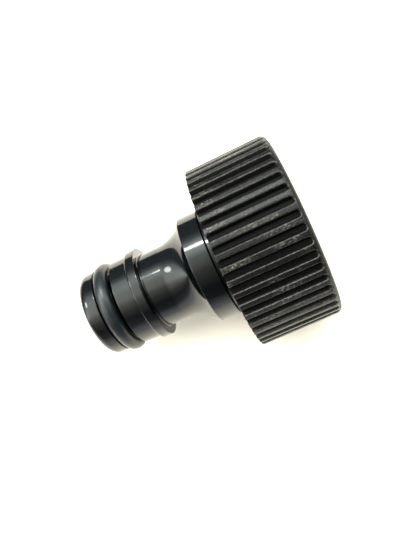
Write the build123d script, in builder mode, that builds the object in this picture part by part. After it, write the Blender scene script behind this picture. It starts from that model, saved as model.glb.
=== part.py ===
from build123d import *
import math
import os

# Garden-tap adaptor: a hose quick-connect spigot held in a swivel nut with an
# internal G3/4 thread. Millimetres. The fitting lies on its side: its axis runs
# along +X, the open threaded mouth faces +X, and the nut's two lowest ribs rest
# on z = 0. Lengths along the axis are stations, counted from the nut's rear edge
# and positive towards the mouth.

# ---- driving dimensions ------------------------------------------------------
NUT_RADIUS = 16.7           # over the rib crests
NUT_LENGTH = 14.75          # rear edge to mouth
RIB_COUNT = 48
GROOVE_DEPTH = 0.9
GROOVE_TOP_WIDTH = 1.3      # at the crest radius
GROOVE_FLOOR_WIDTH = 0.7
GROOVE_FLOOR_FILLET = 0.14
GROOVE_END = 13.85          # the grooves stop here, short of the plain rim
RIM_ROUNDING = 1.1          # outer edge of the mouth
REAR_CHAMFER = 0.2
LIP_THICKNESS = 2.0         # rear wall of the nut, which pulls on the flange
LIP_RADIUS = 9.7            # hole in the rear wall
RELIEF_RADIUS = 13.3        # room for flange and washer behind the thread
RELIEF_END = 7.6

THREAD_PITCH = 1.814        # G3/4, 14 threads per inch, 55 degree form
THREAD_MINOR_RADIUS = 12.0585
THREAD_DEPTH = 1.162
THREAD_HALF_ANGLE = 27.5
MOUTH_RADIUS = 13.45        # lead-in chamfer at the mouth
PARTING_LINE_DEPTH = 0.06   # hairlines along the thread
PARTING_LINES = (45, 135, 225, 315)

NOSE_TIP = -26.0            # front face of the spigot
NOSE_RADIUS = 7.9
NOSE_LEAD = 1.5             # rounding of the nose
O_RING_GROOVE = (-22.9, -19.45)
O_RING_GROOVE_RADIUS = 5.95
O_RING_WIDTH = 2.75         # a 2.65 mm ring, stretched and pressed slightly oval
O_RING_HEIGHT = 2.55
O_RING_STATION = -21.475
LAND_RADIUS = 7.95
RIB_FRONT = -16.2           # latch rib of the quick connector
RIB_REAR = -14.35
RIB_RADIUS = 8.5
WAIST_RADIUS = 7.0
FLARE_RADIUS = 7.1
COLLAR_FRONT = -4.97
COLLAR_REAR = -1.23
COLLAR_RADIUS = 10.0        # snaps through the nut's lip
HUB_RADIUS = 9.45           # runs in the nut's lip
FLANGE_REAR = 2.1           # a tenth of a millimetre clear of the lip
FLANGE_THICKNESS = 1.6
FLANGE_RADIUS = 11.95       # passes the thread's minor diameter

BORE_RADIUS = 4.75          # inside the O-ring groove
BORE_STEP = (-18.9, -18.3)  # behind the groove the bore widens with the wall
WAIST_BORE_RADIUS = 5.3
WAIST_BORE_END = -9.0       # the core widens again behind the waist
CORE_START = -6.2
CORE_RADIUS = 7.7

SLIDE_TRAVEL = 1.1          # axial play of the nut on the spigot
WASHER_OUTER_RADIUS = 12.45
WASHER_INNER_RADIUS = 7.5
WASHER_THICKNESS = 2.5
WASHER_CLEARANCE = 0.1

EDGE = 0.15                 # small moulded edges
RIB_EDGE = 0.4
COLLAR_EDGE = 0.25

# ---- frame -------------------------------------------------------------------
MIDDLE = (NOSE_TIP + NUT_LENGTH) / 2
PROFILE = Plane(origin=(-MIDDLE, 0, NUT_RADIUS), x_dir=(1, 0, 0), z_dir=(0, -1, 0))
AXIS = Axis(PROFILE.origin, PROFILE.x_dir)


def section_plane(station):
    """Plane across the axis at a station, local x along +Y and local y along +Z."""
    return Plane(origin=(station - MIDDLE, 0, NUT_RADIUS), x_dir=(0, 1, 0), z_dir=(1, 0, 0))


def corners(sketch, points):
    """The sketch's vertices nearest to the given (station, radius) points."""
    return [sketch.vertices().sort_by_distance(point)[0] for point in points]


os.makedirs("parts", exist_ok=True)

# ---- spigot: nose, O-ring groove, latch rib, waist, flare, collar, flange ------
FLANGE_FRONT = FLANGE_REAR + FLANGE_THICKNESS
FLARE_RISE = COLLAR_RADIUS - WAIST_RADIUS
FLARE_START = COLLAR_FRONT - math.sqrt(FLARE_RADIUS**2 - (FLARE_RADIUS - FLARE_RISE) ** 2)

with BuildPart() as spigot:
    with BuildSketch(PROFILE) as outline:
        with BuildLine():
            Polyline(
                (NOSE_TIP, BORE_RADIUS),
                (NOSE_TIP, NOSE_RADIUS),
                (O_RING_GROOVE[0], NOSE_RADIUS),
                (O_RING_GROOVE[0], O_RING_GROOVE_RADIUS),
                (O_RING_GROOVE[1], O_RING_GROOVE_RADIUS),
                (O_RING_GROOVE[1], LAND_RADIUS),
                (RIB_FRONT, LAND_RADIUS),
                (RIB_FRONT, RIB_RADIUS),
                (RIB_REAR, RIB_RADIUS),
                (RIB_REAR, WAIST_RADIUS),
                (FLARE_START, WAIST_RADIUS),
            )
            TangentArc((FLARE_START, WAIST_RADIUS), (COLLAR_FRONT, COLLAR_RADIUS), tangent=(1, 0))
            Polyline(
                (COLLAR_FRONT, COLLAR_RADIUS),
                (COLLAR_REAR, COLLAR_RADIUS),
                (COLLAR_REAR, HUB_RADIUS),
                (FLANGE_REAR, HUB_RADIUS),
                (FLANGE_REAR, FLANGE_RADIUS),
                (FLANGE_FRONT, FLANGE_RADIUS),
                (FLANGE_FRONT, CORE_RADIUS),
                (CORE_START, CORE_RADIUS),
                (WAIST_BORE_END, WAIST_BORE_RADIUS),
                (BORE_STEP[1], WAIST_BORE_RADIUS),
                (BORE_STEP[0], BORE_RADIUS),
                (NOSE_TIP, BORE_RADIUS),
            )
        make_face()
        fillet(corners(outline, [(NOSE_TIP, NOSE_RADIUS)]), NOSE_LEAD)
        fillet(corners(outline, [(RIB_FRONT, RIB_RADIUS)]), RIB_EDGE)
        fillet(corners(outline, [(COLLAR_REAR, COLLAR_RADIUS)]), COLLAR_EDGE)
        small_edges = [
            (NOSE_TIP, BORE_RADIUS),
            (O_RING_GROOVE[0], NOSE_RADIUS),
            (O_RING_GROOVE[1], LAND_RADIUS),
            (RIB_REAR, RIB_RADIUS),
            (COLLAR_FRONT, COLLAR_RADIUS),
            (FLANGE_REAR, FLANGE_RADIUS),
            (FLANGE_FRONT, FLANGE_RADIUS),
        ]
        fillet(corners(outline, small_edges), EDGE)
    revolve(axis=AXIS)
spigot.part.label = "spigot"
export_step(spigot.part, "parts/spigot.step")

# ---- O-ring in the nose groove -------------------------------------------------
O_RING_CENTRE_RADIUS = O_RING_GROOVE_RADIUS + O_RING_HEIGHT / 2

with BuildPart() as nose_o_ring:
    with BuildSketch(PROFILE):
        with Locations((O_RING_STATION, O_RING_CENTRE_RADIUS)):
            Ellipse(O_RING_WIDTH / 2, O_RING_HEIGHT / 2)
    revolve(axis=AXIS)
nose_o_ring.part.label = "nose_o_ring"
export_step(nose_o_ring.part, "parts/nose_o_ring.step")

# ---- sealing washer, loose between the flange and the thread -------------------
WASHER_REAR = FLANGE_FRONT + SLIDE_TRAVEL + WASHER_CLEARANCE

with BuildPart() as sealing_washer:
    with BuildSketch(section_plane(WASHER_REAR)):
        Circle(WASHER_OUTER_RADIUS)
        Circle(WASHER_INNER_RADIUS, mode=Mode.SUBTRACT)
    extrude(amount=WASHER_THICKNESS)
    fillet(sealing_washer.edges().filter_by(GeomType.CIRCLE), EDGE)
sealing_washer.part.label = "sealing_washer"
export_step(sealing_washer.part, "parts/sealing_washer.step")

# ---- cutter for one grip groove: a tapered slot with a round front end ---------
GROOVE_FLOOR_RADIUS = NUT_RADIUS - GROOVE_DEPTH
GROOVE_SLOPE = (GROOVE_TOP_WIDTH - GROOVE_FLOOR_WIDTH) / 2 / GROOVE_DEPTH
CUTTER_RADIUS = NUT_RADIUS + GROOVE_DEPTH      # the cutter stands proud of the crests
CUTTER_HALF_TOP = GROOVE_TOP_WIDTH / 2 + GROOVE_SLOPE * GROOVE_DEPTH
CUTTER_OVERRUN = 1.0
SLOT_END_CENTRE = GROOVE_END - GROOVE_TOP_WIDTH / 2

with BuildPart() as groove_cutter:
    with BuildSketch(section_plane(-CUTTER_OVERRUN)) as slot:
        Polygon(
            (-GROOVE_FLOOR_WIDTH / 2, GROOVE_FLOOR_RADIUS),
            (GROOVE_FLOOR_WIDTH / 2, GROOVE_FLOOR_RADIUS),
            (CUTTER_HALF_TOP, CUTTER_RADIUS),
            (-CUTTER_HALF_TOP, CUTTER_RADIUS),
            align=None,
        )
        fillet(slot.vertices().group_by(Axis.Y)[0], GROOVE_FLOOR_FILLET)
    extrude(amount=SLOT_END_CENTRE + CUTTER_OVERRUN)
    with BuildSketch(section_plane(SLOT_END_CENTRE)) as slot_half:
        Polygon(
            (0, GROOVE_FLOOR_RADIUS),
            (GROOVE_FLOOR_WIDTH / 2, GROOVE_FLOOR_RADIUS),
            (CUTTER_HALF_TOP, CUTTER_RADIUS),
            (0, CUTTER_RADIUS),
            align=None,
        )
        fillet(corners(slot_half, [(GROOVE_FLOOR_WIDTH / 2, GROOVE_FLOOR_RADIUS)]), GROOVE_FLOOR_FILLET)
    revolve(axis=Axis((SLOT_END_CENTRE - MIDDLE, 0, NUT_RADIUS), (0, 0, 1)))

# ---- cutter for the helical thread groove, right-handed --------------------------
THREAD_MAJOR_RADIUS = THREAD_MINOR_RADIUS + THREAD_DEPTH
FLANK = math.tan(math.radians(THREAD_HALF_ANGLE))
THREAD_UNDERCUT = 0.3                          # the cutter starts inside the open bore
CUTTER_INNER_RADIUS = THREAD_MINOR_RADIUS - THREAD_UNDERCUT
ROOT_HALF_WIDTH = THREAD_PITCH / 4 - THREAD_DEPTH / 2 * FLANK
OPEN_HALF_WIDTH = ROOT_HALF_WIDTH + (THREAD_DEPTH + THREAD_UNDERCUT) * FLANK
HELIX_START = RELIEF_END - 1.6                 # it runs out into the relief
HELIX_END = NUT_LENGTH                         # and at the mouth's chamfer

with BuildPart() as thread_cutter:
    with BuildLine() as thread_path:
        Helix(
            THREAD_PITCH,
            HELIX_END - HELIX_START,
            THREAD_MINOR_RADIUS,
            center=section_plane(HELIX_START).origin,
            direction=AXIS.direction,
        )
    with BuildSketch(PROFILE):
        Polygon(
            (HELIX_START - OPEN_HALF_WIDTH, CUTTER_INNER_RADIUS),
            (HELIX_START - ROOT_HALF_WIDTH, THREAD_MAJOR_RADIUS),
            (HELIX_START + ROOT_HALF_WIDTH, THREAD_MAJOR_RADIUS),
            (HELIX_START + OPEN_HALF_WIDTH, CUTTER_INNER_RADIUS),
            align=None,
        )
    sweep(path=thread_path.wires()[0], is_frenet=True)

# ---- cutter for one parting line of the thread's four-part mould core ---------------
with BuildPart() as parting_line:
    with BuildSketch(section_plane(RELIEF_END - 1)):
        with Locations((0, THREAD_MINOR_RADIUS)):
            Circle(PARTING_LINE_DEPTH)
    extrude(amount=NUT_LENGTH - RELIEF_END + 2)

# ---- swivel nut ----------------------------------------------------------------
MOUTH_CHAMFER = MOUTH_RADIUS - THREAD_MINOR_RADIUS

with BuildPart() as swivel_nut:
    with BuildSketch(PROFILE) as wall:
        with BuildLine():
            Polyline(
                (0, LIP_RADIUS),
                (0, NUT_RADIUS),
                (NUT_LENGTH, NUT_RADIUS),
                (NUT_LENGTH, MOUTH_RADIUS),
                (NUT_LENGTH - MOUTH_CHAMFER, THREAD_MINOR_RADIUS),
                (RELIEF_END, THREAD_MINOR_RADIUS),
                (RELIEF_END, RELIEF_RADIUS),
                (LIP_THICKNESS, RELIEF_RADIUS),
                (LIP_THICKNESS, LIP_RADIUS),
                close=True,
            )
        make_face()
        chamfer(corners(wall, [(0, NUT_RADIUS)]), REAR_CHAMFER)
        fillet(corners(wall, [(NUT_LENGTH, NUT_RADIUS)]), RIM_ROUNDING)
        fillet(corners(wall, [(0, LIP_RADIUS), (LIP_THICKNESS, LIP_RADIUS)]), EDGE)
    revolve(axis=AXIS)

    add(thread_cutter.part, mode=Mode.SUBTRACT)
    add([parting_line.part.rotate(AXIS, turn) for turn in PARTING_LINES], mode=Mode.SUBTRACT)

    rib_step = 360 / RIB_COUNT
    grooves = [groove_cutter.part.rotate(AXIS, count * rib_step) for count in range(RIB_COUNT)]
    add(grooves, mode=Mode.SUBTRACT)
swivel_nut.part.label = "swivel_nut"
export_step(swivel_nut.part, "parts/swivel_nut.step")
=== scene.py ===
import math

import bmesh
import bpy
from mathutils import Matrix, Vector


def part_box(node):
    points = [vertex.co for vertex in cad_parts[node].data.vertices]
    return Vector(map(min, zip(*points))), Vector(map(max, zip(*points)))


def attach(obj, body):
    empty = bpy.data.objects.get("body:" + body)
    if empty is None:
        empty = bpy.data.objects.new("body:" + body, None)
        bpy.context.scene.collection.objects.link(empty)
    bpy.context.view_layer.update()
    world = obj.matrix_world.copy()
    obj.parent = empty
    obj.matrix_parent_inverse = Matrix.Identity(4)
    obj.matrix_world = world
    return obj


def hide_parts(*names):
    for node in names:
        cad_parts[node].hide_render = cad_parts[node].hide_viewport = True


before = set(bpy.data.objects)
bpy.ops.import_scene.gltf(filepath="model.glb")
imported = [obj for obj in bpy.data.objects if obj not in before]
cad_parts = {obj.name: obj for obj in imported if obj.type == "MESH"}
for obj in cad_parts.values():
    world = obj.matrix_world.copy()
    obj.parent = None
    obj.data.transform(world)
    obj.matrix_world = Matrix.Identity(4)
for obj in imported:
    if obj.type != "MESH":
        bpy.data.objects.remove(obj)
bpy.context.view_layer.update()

# Garden-tap adaptor. Lengths below are millimetres; MM turns them into the frame's metres.
# A station is a distance along the axis from the nut's rear edge, positive towards the mouth.
MM = 0.001

nut_low, nut_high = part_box("swivel_nut")
spigot_low, spigot_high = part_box("spigot")
ring_low, ring_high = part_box("nose_o_ring")
washer_low, washer_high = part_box("sealing_washer")

REAR_X = nut_low.x                                   # station 0
AXIS_Z = (nut_low.z + nut_high.z) / 2
NUT_LENGTH = (nut_high.x - nut_low.x) / MM


def station_of(x):
    """The station, in millimetres, of a frame coordinate x in metres."""
    return (x - REAR_X) / MM


# ---- sizes of the swivel nut, mm ---------------------------------------------------
NUT_RADIUS = 16.7                                    # over the crests
RIB_COUNT = 48
GROOVE_DEPTH = 0.9
GROOVE_TOP_HALF = 0.65
GROOVE_FLOOR_HALF = 0.35
GROOVE_END = 14.1
SLOT_CENTRE_END = GROOVE_END - GROOVE_TOP_HALF
CREST_BLEND = 0.36                                   # share of the groove wall that is rounded
FLOOR_BLEND = 0.22
REAR_ROUNDING = 0.2
RIM_ROUNDING = 1.1
LIP_THICKNESS = 2.0
LIP_RADIUS = 9.7
RELIEF_RADIUS = 13.3
RELIEF_END = 7.6
THREAD_PITCH = 1.814
THREAD_MINOR = 12.0585
THREAD_DEPTH = 1.162
THREAD_START = 6.0                                   # a groove's centre at the top of the nut
THREAD_OPEN_HALF = 0.756
THREAD_ROOT_HALF = 0.151
MOUTH_RADIUS = 13.45

# rows of the nut's mesh, mm
FINE_RING_RADIUS = 15.1                              # fine and coarse rings meet on the flat ends
COARSE_RING_RADIUS = 14.8
BARREL_FIRST, BARREL_STEP, BARREL_ROWS = 0.45, 0.6, 21
SLOT_FIRST, SLOT_STEP, SLOT_ROWS = 13.1, 0.09, 7
THREAD_STEP = 0.11
EDGE_INSET = 0.1                                     # holds the shading of the rim's edge

# ---- sizes of the spigot, mm -------------------------------------------------------
NOSE_TIP = station_of(spigot_low.x)
FLANGE_FRONT = station_of(spigot_high.x)
FLANGE_RADIUS = (spigot_high.z - spigot_low.z) / 2 / MM
NOSE_RADIUS = 7.9
NOSE_LEAD = 1.5
GROOVE_FRONT, GROOVE_REAR = -22.9, -19.45
GROOVE_ROOT = 5.95
LAND_RADIUS = 7.95
RIB_FRONT, RIB_REAR = -16.2, -14.35
RIB_RADIUS = 8.5
WAIST_RADIUS = 7.0
FLARE_RADIUS = 7.1
COLLAR_FRONT, COLLAR_REAR = -4.97, -1.23
COLLAR_RADIUS = 10.0
HUB_RADIUS = 9.45
FLANGE_REAR = 2.1
BORE_RADIUS = 4.75
BORE_STEP = (-18.9, -18.3)
WAIST_BORE_RADIUS = 5.3
WAIST_BORE_END = -9.0
CORE_START = -6.2
CORE_RADIUS = 7.7
FLARE_SEGMENTS = 29

# ---- size of the washer, mm --------------------------------------------------------
WASHER_INNER_RADIUS = 7.5


# ---- mesh making ---------------------------------------------------------------------
def place(station, radius, angle):
    """A point in the frame; angle is in radians from the top, right-handed about +X."""
    return (
        REAR_X + station * MM,
        -radius * math.sin(angle) * MM,
        AXIS_Z + radius * math.cos(angle) * MM,
    )


def arc_points(corner, before, after, size, segments):
    """The rounding of one outline corner, as points from the side before it to the side after it."""
    half = before.angle(after) / 2
    if size == 0:
        return [corner]
    centre = corner + (before + after).normalized() * (size / math.sin(half))
    reach = size / math.tan(half)
    first, last = corner + before * reach - centre, corner + after * reach - centre
    start = math.atan2(first.y, first.x)
    turn = (math.atan2(last.y, last.x) - start + math.pi) % (2 * math.pi) - math.pi
    angles = [start + turn * k / segments for k in range(segments + 1)]
    return [centre + Vector((math.cos(a), math.sin(a))) * size for a in angles]


def rounded(corners, segments=8, step=0.45, support=0.06):
    """A closed outline of (station, radius) points from (station, radius, rounding) corners.
    A straight run is cut into short steps, with a support point close to each end."""
    arcs = []
    for index, (s, r, size) in enumerate(corners):
        here = Vector((s, r))
        before = (Vector(corners[index - 1][:2]) - here).normalized()
        after = (Vector(corners[(index + 1) % len(corners)][:2]) - here).normalized()
        arcs.append(arc_points(here, before, after, size, segments))
    points = []
    for index, arc in enumerate(arcs):
        points.extend(arc)
        run = arcs[(index + 1) % len(arcs)][0] - arc[-1]
        if run.length > 3 * support:
            pieces = max(1, round((run.length - 2 * support) / step))
            inner = run.normalized() * support
            for k in range(pieces + 1):
                points.append(arc[-1] + inner + (run - 2 * inner) * (k / pieces))
    return [(p.x, p.y) for p in points]


def finish_mesh(name, points, faces, body, node, material):
    """A smooth closed mesh that rides on its body and stands for its CAD node."""
    mesh = bpy.data.meshes.new(name)
    mesh.from_pydata(points, [], faces)
    shell = bmesh.new()
    shell.from_mesh(mesh)
    bmesh.ops.recalc_face_normals(shell, faces=shell.faces)
    shell.to_mesh(mesh)
    shell.free()
    mesh.shade_smooth()
    mesh.materials.append(material)
    piece = bpy.data.objects.new(name, mesh)
    bpy.context.scene.collection.objects.link(piece)
    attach(piece, body)
    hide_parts(node)
    return piece


def ring_of_faces(first, second, steps):
    """The faces between two rings of points, each given by its first point's index."""
    faces = []
    for k in range(steps):
        m = (k + 1) % steps
        faces.append((first + k, second + k, second + m, first + m))
    return faces


def lathe(outline, steps):
    """Points and faces of a closed outline turned about the axis."""
    angles = [2 * math.pi * k / steps for k in range(steps)]
    points = [place(station, radius, angle) for station, radius in outline for angle in angles]
    faces = []
    for row in range(len(outline)):
        following = (row + 1) % len(outline)
        faces.extend(ring_of_faces(row * steps, following * steps, steps))
    return points, faces


# ---- swivel nut ------------------------------------------------------------------------
def ramp(x, low, high):
    """0 to 1 as x goes from 0 to 1, with its two corners rounded over low and high."""
    if x < -low:
        return 0.0
    if x < low:
        return (x + low) ** 2 / (4 * low)
    if x > 1 + high:
        return 1.0
    if x > 1 - high:
        return 1 - (1 + high - x) ** 2 / (4 * high)
    return x


def grip_depth(across, station):
    """Depth below the crests at a distance across from a groove's middle."""
    past = max(0.0, station - SLOT_CENTRE_END)
    share = (math.hypot(across, past) - GROOVE_FLOOR_HALF) / (GROOVE_TOP_HALF - GROOVE_FLOOR_HALF)
    return GROOVE_DEPTH * (1 - ramp(share, FLOOR_BLEND, CREST_BLEND))


def crest_radius(station):
    """The nut's radius over the crests: rounded at the rear edge and at the mouth."""
    if station < REAR_ROUNDING:
        into = REAR_ROUNDING - station
        return NUT_RADIUS - REAR_ROUNDING + math.sqrt(REAR_ROUNDING**2 - into**2)
    from_mouth = NUT_LENGTH - station
    if from_mouth < RIM_ROUNDING:
        into = RIM_ROUNDING - from_mouth
        return NUT_RADIUS - RIM_ROUNDING + math.sqrt(RIM_ROUNDING**2 - into**2)
    return NUT_RADIUS


def thread_radius(station, angle):
    """The nut's inner radius along the thread: a right-handed groove, then the mouth's cone."""
    along = station - THREAD_START - THREAD_PITCH * angle / (2 * math.pi)
    off = abs((along + THREAD_PITCH / 2) % THREAD_PITCH - THREAD_PITCH / 2)
    share = (THREAD_OPEN_HALF - off) / (THREAD_OPEN_HALF - THREAD_ROOT_HALF)
    groove = THREAD_MINOR + THREAD_DEPTH * ramp(share, 0.12, 0.12)
    cone = MOUTH_RADIUS - (NUT_LENGTH - station)
    return max(groove, cone)


# distances from a groove's middle at which the barrel has points, mm
GROOVE_SAMPLES = (0, 0.22, 0.32, 0.38, 0.45, 0.52, 0.58, 0.64, 0.70, 0.77, 0.88)
RIB_PITCH = 2 * math.pi * NUT_RADIUS / RIB_COUNT
OUTER_STEPS = RIB_COUNT * 2 * len(GROOVE_SAMPLES)
FINE_PER_COARSE = 4
INNER_STEPS = OUTER_STEPS // FINE_PER_COARSE


def rib_angles():
    """Angles round the nut, close together on the groove walls, with each angle's distance
    across from its groove's middle. A groove is at the top."""
    rising = list(GROOVE_SAMPLES) + [RIB_PITCH / 2]
    offsets = rising + [RIB_PITCH - a for a in GROOVE_SAMPLES[:0:-1]]
    angles = [(rib * RIB_PITCH + offset) / NUT_RADIUS for rib in range(RIB_COUNT) for offset in offsets]
    return angles, [min(offset, RIB_PITCH - offset) for offset in offsets] * RIB_COUNT


def nut_rows():
    """Stations of the barrel's rows: close together at the edges and at the grooves' ends."""
    rear = [REAR_ROUNDING * (1 - math.cos(math.pi / 2 * k / 5)) for k in range(6)]
    barrel = [BARREL_FIRST + BARREL_STEP * k for k in range(BARREL_ROWS)]
    slot_ends = [SLOT_FIRST + SLOT_STEP * k for k in range(SLOT_ROWS)]
    rim_start = NUT_LENGTH - RIM_ROUNDING
    rim = [rim_start + RIM_ROUNDING * math.sin(math.pi / 2 * k / 8) for k in range(9)]
    return rear + barrel + slot_ends + rim


def thread_rows():
    """Stations of the rows along the thread, from the mouth back to the relief."""
    count = int((NUT_LENGTH - RELIEF_END) / THREAD_STEP) + 1
    rows = [NUT_LENGTH - THREAD_STEP * k for k in range(count)]
    return [station for station in rows if station > RELIEF_END + THREAD_STEP / 4] + [RELIEF_END]


def pocket_outline():
    """The inside behind the thread: the relief's walls, the lip and the rear face."""
    corners = [
        (RELIEF_END, THREAD_MINOR, 0),
        (RELIEF_END, RELIEF_RADIUS, 0.1),
        (LIP_THICKNESS, RELIEF_RADIUS, 0.3),
        (LIP_THICKNESS, LIP_RADIUS, 0.15),
        (0, LIP_RADIUS, 0.15),
        (0, COARSE_RING_RADIUS, 0),
    ]
    outline = rounded(corners, segments=5, step=0.8)
    thread_root = THREAD_MINOR + THREAD_DEPTH
    first = next(i for i, (station, radius) in enumerate(outline) if radius > thread_root)
    last = next(i for i, spot in enumerate(outline) if math.dist(spot, corners[-1][:2]) < 0.001)
    return outline[first : last + 1]


def inner_rings(angles):
    """The nut's inside as rings of (station, radius), from the mouth's face to the rear face."""
    rings = [[(NUT_LENGTH, radius)] * INNER_STEPS for radius in (COARSE_RING_RADIUS, MOUTH_RADIUS + 0.06)]
    for station in thread_rows():
        rings.append([(station, thread_radius(station, angle)) for angle in angles])
    return rings + [[spot] * INNER_STEPS for spot in pocket_outline()]


def stitch_faces(fine, coarse):
    """The flat faces where four fine steps meet one coarse step."""
    faces = []
    for k in range(INNER_STEPS):
        run = [fine + (FINE_PER_COARSE * k + j) % OUTER_STEPS for j in range(FINE_PER_COARSE + 1)]
        faces.append((*run[::-1], coarse + k, coarse + (k + 1) % INNER_STEPS))
    return faces


def make_nut(material):
    """The nut: a ribbed barrel in fine steps round the axis, and an inside in coarse ones."""
    angles, across = rib_angles()
    points, wear_and_shade = [], []
    rows = nut_rows()
    for station in rows:
        rim_share = 0.45 if station > GROOVE_END else 1
        for angle, reach in zip(angles, across):
            depth = grip_depth(reach, station)
            radius = min(crest_radius(station), NUT_RADIUS - depth)
            points.append(place(station, radius, angle))
            # the share of a point's height above the groove floor; the shader turns it into crest scuffs,
            # painted shade in the grooves and a painted highlight on the crest edges
            wear_and_shade.append((1 - depth / GROOVE_DEPTH) * rim_share)
    # two flat rings inwards at the mouth and at the rear, to where the coarse rings start
    mouth_edge = NUT_RADIUS - RIM_ROUNDING - EDGE_INSET
    rear_edge = NUT_RADIUS - GROOVE_DEPTH - 3 * EDGE_INSET
    for station, edge in ((NUT_LENGTH, mouth_edge), (0.0, rear_edge)):
        for radius in (edge, FINE_RING_RADIUS):
            points.extend(place(station, radius, angle) for angle in angles)
            wear_and_shade.extend([0.5] * OUTER_STEPS)
    coarse_angles = angles[::FINE_PER_COARSE]
    rings = inner_rings(coarse_angles)
    inner_first = len(points)
    for ring in rings:
        points.extend(place(*spot, angle) for spot, angle in zip(ring, coarse_angles))
        wear_and_shade.extend([0.2] * INNER_STEPS)

    faces = []
    mouth_first = len(rows) * OUTER_STEPS
    for row in range(len(rows) + 1):
        faces += ring_of_faces(row * OUTER_STEPS, (row + 1) * OUTER_STEPS, OUTER_STEPS)
    rear_first = mouth_first + 2 * OUTER_STEPS
    faces += ring_of_faces(rear_first, 0, OUTER_STEPS)
    faces += ring_of_faces(rear_first + OUTER_STEPS, rear_first, OUTER_STEPS)
    inner_last = inner_first + (len(rings) - 1) * INNER_STEPS
    for first in range(inner_first, inner_last, INNER_STEPS):
        faces += ring_of_faces(first, first + INNER_STEPS, INNER_STEPS)
    faces += stitch_faces(mouth_first + OUTER_STEPS, inner_first)
    faces += stitch_faces(rear_first + OUTER_STEPS, inner_last)
    piece = finish_mesh("nut_moulding", points, faces, "nut_body", "swivel_nut", material)
    # the mark that the shader reads for the scuffs, the painted groove shade and the painted edge
    # highlight
    mark = piece.data.attributes.new("wear_and_shade", "FLOAT", "POINT")
    mark.data.foreach_set("value", wear_and_shade)
    return piece


# ---- spigot, O-ring and washer -----------------------------------------------------------
def spigot_outline():
    """The spigot's closed outline. The flare is an arc, tangent to the waist."""
    rise = COLLAR_RADIUS - WAIST_RADIUS
    sweep = math.acos(1 - rise / FLARE_RADIUS)
    flare_start = COLLAR_FRONT - FLARE_RADIUS * math.sin(sweep)
    flare = []
    for k in range(1, FLARE_SEGMENTS):
        turn = sweep * k / FLARE_SEGMENTS
        station = flare_start + FLARE_RADIUS * math.sin(turn)
        flare.append((station, WAIST_RADIUS + FLARE_RADIUS * (1 - math.cos(turn)), 0))
    front = [
        (NOSE_TIP, BORE_RADIUS, 0.15),
        (NOSE_TIP, NOSE_RADIUS, NOSE_LEAD),
        (GROOVE_FRONT, NOSE_RADIUS, 0.15),
        (GROOVE_FRONT, GROOVE_ROOT, 0.1),
        (GROOVE_REAR, GROOVE_ROOT, 0.1),
        (GROOVE_REAR, LAND_RADIUS, 0.15),
        (RIB_FRONT, LAND_RADIUS, 0.08),
        (RIB_FRONT, RIB_RADIUS, 0.35),
        (RIB_REAR, RIB_RADIUS, 0.15),
        (RIB_REAR, WAIST_RADIUS, 0.2),
    ]
    rear = [
        (COLLAR_FRONT, COLLAR_RADIUS, 0.16),
        (COLLAR_REAR, COLLAR_RADIUS, 0.25),
        (COLLAR_REAR, HUB_RADIUS, 0.05),
        (FLANGE_REAR, HUB_RADIUS, 0.1),
        (FLANGE_REAR, FLANGE_RADIUS, 0.15),
        (FLANGE_FRONT, FLANGE_RADIUS, 0.15),
        (FLANGE_FRONT, CORE_RADIUS, 0.1),
        (CORE_START, CORE_RADIUS, 0.1),
        (WAIST_BORE_END, WAIST_BORE_RADIUS, 0.3),
        (BORE_STEP[1], WAIST_BORE_RADIUS, 0.2),
        (BORE_STEP[0], BORE_RADIUS, 0.2),
    ]
    return rounded(front + flare + rear)


def make_spigot(material):
    """The gloss moulding, turned from one outline."""
    points, faces = lathe(spigot_outline(), 288)
    return finish_mesh(
        "spigot_moulding", points, faces, "spigot_body", "spigot", material
    )


def make_o_ring(material):
    """A ring with an oval section, which stands on the groove's root."""
    centre = station_of((ring_low.x + ring_high.x) / 2)
    half_width = (ring_high.x - ring_low.x) / 2 / MM
    outer = (ring_high.z - ring_low.z) / 2 / MM
    middle, half_height = (GROOVE_ROOT + outer) / 2, (outer - GROOVE_ROOT) / 2
    turns = [2 * math.pi * k / 40 for k in range(40)]
    outline = [(centre - half_width * math.cos(t), middle + half_height * math.sin(t)) for t in turns]
    points, faces = lathe(outline, 240)
    return finish_mesh(
        "o_ring_rubber_ring", points, faces, "spigot_body", "nose_o_ring", material
    )


def make_washer(material):
    """A flat ring with slightly rounded edges."""
    rear, front = station_of(washer_low.x), station_of(washer_high.x)
    inner, outer = WASHER_INNER_RADIUS, (washer_high.z - washer_low.z) / 2 / MM
    corners = [(rear, inner), (rear, outer), (front, outer), (front, inner)]
    points, faces = lathe(rounded([(*corner, 0.15) for corner in corners]), 160)
    return finish_mesh(
        "washer_rubber_ring", points, faces, "washer_body", "sealing_washer", material
    )


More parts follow.
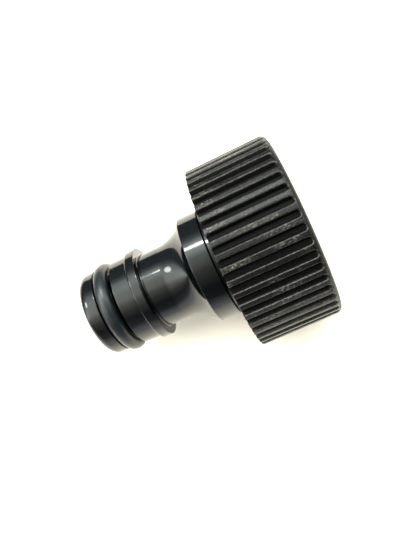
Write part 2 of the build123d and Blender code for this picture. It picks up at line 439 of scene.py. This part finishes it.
# ---- materials -----------------------------------------------------------------------------
class Shader:
    """A principled material and short ways to add and join its nodes."""

    def __init__(self, name):
        self.material = bpy.data.materials.new(name)
        self.material.use_nodes = True
        self.tree = self.material.node_tree
        self.surface = self.tree.nodes["Principled BSDF"]
        self.place = self.tree.nodes.new("ShaderNodeTexCoord").outputs["Object"]

    def set(self, **values):
        for name, value in values.items():
            self.surface.inputs[name.replace("_", " ")].default_value = value

    def link(self, source, target):
        self.tree.links.new(source, target)

    def noise(self, scale, detail=3.0, roughness=0.5, stretch=(1, 1, 1)):
        """Noise between 0 and 1; scale is in lumps per metre."""
        mapping = self.tree.nodes.new("ShaderNodeMapping")
        mapping.inputs["Scale"].default_value = stretch
        self.link(self.place, mapping.inputs["Vector"])
        node = self.tree.nodes.new("ShaderNodeTexNoise")
        node.inputs["Scale"].default_value = scale
        node.inputs["Detail"].default_value = detail
        node.inputs["Roughness"].default_value = roughness
        self.link(mapping.outputs["Vector"], node.inputs["Vector"])
        return node.outputs["Fac"]

    def span(self, value, low, high, to_low=0.0, to_high=1.0):
        """The value taken from low..high to to_low..to_high, and clamped."""
        node = self.tree.nodes.new("ShaderNodeMapRange")
        ends = {"From Min": low, "From Max": high, "To Min": to_low, "To Max": to_high}
        for name, number in ends.items():
            node.inputs[name].default_value = number
        self.link(value, node.inputs["Value"])
        return node.outputs["Result"]

    def math(self, operation, first, second):
        node = self.tree.nodes.new("ShaderNodeMath")
        node.operation = operation
        for socket, value in zip(node.inputs, (first, second)):
            if isinstance(value, (int, float)):
                socket.default_value = value
            else:
                self.link(value, socket)
        return node.outputs[0]

    def mix(self, share, first, second):
        """A colour between two colours, each a tuple or another colour socket."""
        node = self.tree.nodes.new("ShaderNodeMix")
        node.data_type = "RGBA"
        self.link(share, node.inputs["Factor"])
        for name, value in (("A", first), ("B", second)):
            socket = next(s for s in node.inputs if s.name == name and s.type == "RGBA")
            if isinstance(value, tuple):
                socket.default_value = (*value, 1.0)
            else:
                self.link(value, socket)
        return next(s for s in node.outputs if s.type == "RGBA")

    def bump(self, height, distance, strength=1.0):
        node = self.tree.nodes.new("ShaderNodeBump")
        node.inputs["Strength"].default_value = strength
        node.inputs["Distance"].default_value = distance
        self.link(height, node.inputs["Height"])
        self.link(node.outputs["Normal"], self.surface.inputs["Normal"])

    def attribute(self, name):
        node = self.tree.nodes.new("ShaderNodeAttribute")
        node.attribute_name = name
        return node.outputs["Fac"]


def nut_plastic():
    """Charcoal plastic, satin on the ribs, with pale scuffs in patches. The grooves get painted shade:
    a darker colour, a lower specular level and a duller finish. The rounded crest edges get pale flecks,
    partly rubbing and partly a painted highlight. The point attribute read here is 0 at a groove's floor
    and 1 on a crest."""
    shader = Shader("charcoal_plastic")
    wear_and_shade = shader.attribute("wear_and_shade")
    crest = shader.span(wear_and_shade, 0.80, 1.0)
    open_wall = shader.span(wear_and_shade, 0.10, 0.70)
    edge = shader.math("MULTIPLY", shader.span(wear_and_shade, 0.80, 0.90), shader.span(wear_and_shade, 1.0, 0.97))
    grain = shader.noise(5500, detail=4.0, roughness=0.6)
    patches = shader.noise(150, detail=3.0)
    specks = shader.noise(4200, detail=5.0, roughness=0.75, stretch=(0.5, 1, 1))
    scuffs = shader.math("MULTIPLY", shader.span(specks, 0.50, 0.66), shader.span(patches, 0.50, 0.62))
    # pale flecks on the crests' rounded edges: partly rubbing, partly a painted highlight
    edge_rubbing_and_highlight = shader.math("MULTIPLY", shader.span(specks, 0.40, 0.70, 0.0, 0.45), edge)
    scuffs_and_edge_highlight = shader.math("MAXIMUM", shader.math("MULTIPLY", scuffs, crest), edge_rubbing_and_highlight)
    # painted shade: the grooves' floors and walls get a darker colour than the crests
    shaded_grooves_colour = shader.mix(crest, (0.0010, 0.0010, 0.0011), (0.0018, 0.0018, 0.0017))
    mottled = shader.mix(shader.span(grain, 0.45, 0.70, 0.0, 0.5), shaded_grooves_colour, (0.0100, 0.0096, 0.0082))
    # the pale colour of the scuffs and of the painted highlight on the crest edges
    colour = shader.mix(scuffs_and_edge_highlight, mottled, (0.190, 0.175, 0.140))
    shader.link(colour, shader.surface.inputs["Base Color"])
    satin = shader.span(grain, 0.3, 0.7, 0.20, 0.42)
    dullness = shader.span(open_wall, 0.0, 1.0, 0.30, 0.0)
    shader.link(shader.math("ADD", satin, dullness), shader.surface.inputs["Roughness"])
    # painted shade: the specular level drops from the crests to the groove floors, so the grooves read
    # darker
    shader.link(shader.span(open_wall, 0.0, 1.0, 0.10, 0.36), shader.surface.inputs["Specular IOR Level"])
    shader.bump(grain, 0.00005)
    return shader.material


def gloss_plastic():
    """Blue-black polished plastic with a faint mould ripple."""
    shader = Shader("gloss_black_plastic")
    shader.set(IOR=1.52)
    tint = shader.mix(shader.noise(120, detail=2.0), (0.0004, 0.0008, 0.0011), (0.0010, 0.0017, 0.0021))
    shader.link(tint, shader.surface.inputs["Base Color"])
    polish = shader.span(shader.noise(450, detail=4.0), 0.35, 0.75, 0.08, 0.15)
    shader.link(polish, shader.surface.inputs["Roughness"])
    shader.bump(shader.noise(260, detail=1.0), 0.00006, strength=0.5)
    return shader.material


def ring_rubber():
    """Satin rubber, blue-black, with a little dust."""
    shader = Shader("o_ring_rubber")
    dust = shader.span(shader.noise(900, detail=5.0, roughness=0.65), 0.52, 0.75)
    colour = shader.mix(dust, (0.0050, 0.0070, 0.0085), (0.0110, 0.0135, 0.0150))
    shader.link(colour, shader.surface.inputs["Base Color"])
    shader.link(shader.span(dust, 0.0, 1.0, 0.30, 0.46), shader.surface.inputs["Roughness"])
    shader.bump(shader.noise(4000, detail=3.0), 0.00003)
    return shader.material


def washer_rubber():
    """Matt black rubber sheet with a fine grain."""
    shader = Shader("washer_rubber")
    grain = shader.noise(3000, detail=4.0, roughness=0.6)
    colour = shader.mix(shader.span(grain, 0.3, 0.75), (0.010, 0.010, 0.011), (0.028, 0.028, 0.028))
    shader.link(colour, shader.surface.inputs["Base Color"])
    shader.set(Roughness=0.72)
    shader.bump(grain, 0.00005)
    return shader.material


make_nut(nut_plastic())
make_spigot(gloss_plastic())
make_o_ring(ring_rubber())
make_washer(washer_rubber())


# ---- floor, light and camera -------------------------------------------------------------------
TABLE_REACH = 1.5                                    # metres each way from the fitting
DARK_FLOOR_START = 0.042                             # metres towards +Y
SKY_STRENGTH = 8.0                                   # keeps the ramps' colours below 1
# angle from straight up towards +Y, in degrees, and the radiance that the room has there:
# over the nose's end, and over the nut's end
SKY = (
    (-90, (1.70, 1.72, 1.80), (1.45, 1.47, 1.55)),
    (-76, (1.30, 1.32, 1.36), (0.70, 0.71, 0.74)),
    (-62, (0.40, 0.41, 0.43), (0.10, 0.10, 0.11)),
    (-38, (0.20, 0.19, 0.19), (0.05, 0.05, 0.05)),
    (-18, (0.70, 0.68, 0.60), (0.28, 0.27, 0.23)),
    (0, (2.05, 2.08, 1.85), (0.38, 0.39, 0.33)),
    (12, (3.90, 4.05, 3.70), (0.88, 0.92, 0.80)),
    (30, (4.00, 4.25, 4.00), (1.70, 1.95, 1.75)),
    (42, (3.05, 3.45, 3.25), (4.60, 5.10, 4.80)),
    (58, (1.80, 2.10, 1.95), (4.10, 4.65, 4.40)),
    (68, (0.85, 0.98, 0.95), (1.15, 1.33, 1.30)),
    (80, (0.30, 0.32, 0.36), (0.30, 0.32, 0.36)),
)
SKY_ENDS = (-0.42, -0.10)                            # X of the directions where each table holds alone
CAMERA_EYE = Vector((8.65, -2.87, 91.21)) * MM       # from the axis at station 0, before the lean
CAMERA_TARGET = Vector((-4.48, -1.85, 0)) * MM
CAMERA_TURN = math.radians(24.5)                     # the axis rises this much to the picture's right
CAMERA_LEAN = math.radians(3.75)                     # about the axis, towards +Y


def flat_sheet(name, low, high, height, material):
    """A level sheet of the stage between two (x, y) corners."""
    (x0, y0), (x1, y1) = low, high
    mesh = bpy.data.meshes.new(name)
    corners = [(x0, y0, height), (x1, y0, height), (x1, y1, height), (x0, y1, height)]
    mesh.from_pydata(corners, [], [(0, 1, 2, 3)])
    mesh.materials.append(material)
    sheet = bpy.data.objects.new(name, mesh)
    bpy.context.scene.collection.objects.link(sheet)
    return sheet


def make_floor():
    """A wide pale table under the fitting."""
    shader = Shader("pale_table")
    tone = shader.mix(shader.noise(6, detail=2.0), (0.91, 0.84, 0.735), (0.93, 0.86, 0.755))
    shader.link(tone, shader.surface.inputs["Base Color"])
    shader.set(Roughness=0.7)
    flat_sheet("table", (-TABLE_REACH, -TABLE_REACH), (TABLE_REACH, TABLE_REACH), 0.0, shader.material)


def make_dark_card():
    """The dark floor beyond the pale one on the +Y side, which only reflections see."""
    shader = Shader("dark_card")
    tone = shader.mix(shader.noise(9, detail=2.0), (0.014, 0.024, 0.027), (0.024, 0.038, 0.042))
    shader.link(tone, shader.surface.inputs["Base Color"])
    shader.set(Roughness=0.9)
    near, far = (-TABLE_REACH, DARK_FLOOR_START), (TABLE_REACH, TABLE_REACH)
    card = flat_sheet("dark_card", near, far, 0.0005, shader.material)
    card.visible_camera = card.visible_diffuse = card.visible_shadow = False


def map_range(tree, value, low, high):
    """The value taken from low..high to 0..1, and clamped."""
    node = tree.nodes.new("ShaderNodeMapRange")
    node.inputs["From Min"].default_value = low
    node.inputs["From Max"].default_value = high
    tree.links.new(value, node.inputs["Value"])
    return node.outputs["Result"]


def make_world():
    """The room round the table: bright towards +Y, dim overhead, and paler over the nose."""
    world = bpy.data.worlds.new("room")
    bpy.context.scene.world = world
    world.use_nodes = True
    tree = world.node_tree
    background = tree.nodes["Background"]
    direction = tree.nodes.new("ShaderNodeTexCoord")
    parts = tree.nodes.new("ShaderNodeSeparateXYZ")
    tree.links.new(direction.outputs["Generated"], parts.inputs["Vector"])
    lean = tree.nodes.new("ShaderNodeMath")
    lean.operation = "ARCTAN2"
    tree.links.new(parts.outputs["Y"], lean.inputs[0])
    tree.links.new(parts.outputs["Z"], lean.inputs[1])
    height = map_range(tree, lean.outputs[0], -math.pi / 2, math.pi / 2)
    blend = tree.nodes.new("ShaderNodeMix")
    blend.data_type = "RGBA"
    tree.links.new(map_range(tree, parts.outputs["X"], *SKY_ENDS), blend.inputs["Factor"])
    blend_ends = [socket for socket in blend.inputs if socket.type == "RGBA"]
    for end, socket in enumerate(blend_ends, start=1):
        sky = tree.nodes.new("ShaderNodeValToRGB")
        tree.links.new(height, sky.inputs["Fac"])
        elements = sky.color_ramp.elements
        while len(elements) < len(SKY):
            elements.new(0.5)
        for element, row in zip(elements, SKY):
            element.position = (row[0] + 90) / 180
            element.color = (*(level / SKY_STRENGTH for level in row[end]), 1.0)
        tree.links.new(sky.outputs["Color"], socket)
    room = next(socket for socket in blend.outputs if socket.type == "RGBA")
    tree.links.new(room, background.inputs["Color"])
    background.inputs["Strength"].default_value = SKY_STRENGTH


def leaning(towards_x, towards_y):
    """The direction that leans from straight up by two angles, in degrees."""
    x, y = math.radians(towards_x), math.radians(towards_y)
    return Vector((math.sin(x), math.cos(x) * math.sin(y), math.cos(x) * math.cos(y)))


def area_light(name, power, size, away, distance, mirrored=True):
    """A soft oval light that shines on the fitting from the direction away. Only a mirrored
    one shows in reflections."""
    light = bpy.data.lights.new(name, "AREA")
    light.shape = "ELLIPSE"
    light.size, light.size_y = size
    light.energy = power
    holder = bpy.data.objects.new(name, light)
    holder.visible_glossy = mirrored
    bpy.context.scene.collection.objects.link(holder)
    across = (Vector((1, 0, 0)) - away * away.x).normalized()
    holder.matrix_world = (
        Matrix.Translation(Vector((0, 0, AXIS_Z)) + away * distance)
        @ Matrix((across, away.cross(across), away)).transposed().to_4x4()
    )


def make_camera():
    """Looks down on the fitting from above, a little from the nut's side."""
    camera_data = bpy.data.cameras.new("camera")
    camera_data.sensor_width = 36
    camera_data.lens = 33.1
    camera_data.clip_start = 0.005
    camera = bpy.data.objects.new("camera", camera_data)
    bpy.context.scene.collection.objects.link(camera)
    back = (CAMERA_EYE - CAMERA_TARGET).normalized()
    picture_up = Vector((math.sin(CAMERA_TURN), math.cos(CAMERA_TURN), 0))
    right = picture_up.cross(back).normalized()
    upright = Matrix((right, back.cross(right), back)).transposed().to_4x4()
    axis_start = Matrix.Translation((REAR_X, 0, AXIS_Z))
    lean = Matrix.Rotation(-CAMERA_LEAN, 4, "X")
    camera.matrix_world = axis_start @ lean @ Matrix.Translation(CAMERA_EYE) @ upright
    bpy.context.scene.camera = camera


make_floor()
make_dark_card()
make_world()
area_light("window", 1.5, (0.28, 0.070), leaning(-1.5, 51), 0.6)
area_light("side_window", 1.0, (0.19, 0.14), leaning(-35, 45), 0.6)
area_light("ceiling", 9.0, (0.5, 0.5), leaning(0, 22), 0.8, mirrored=False)
make_camera()
bpy.context.scene.view_settings.view_transform = "Standard"
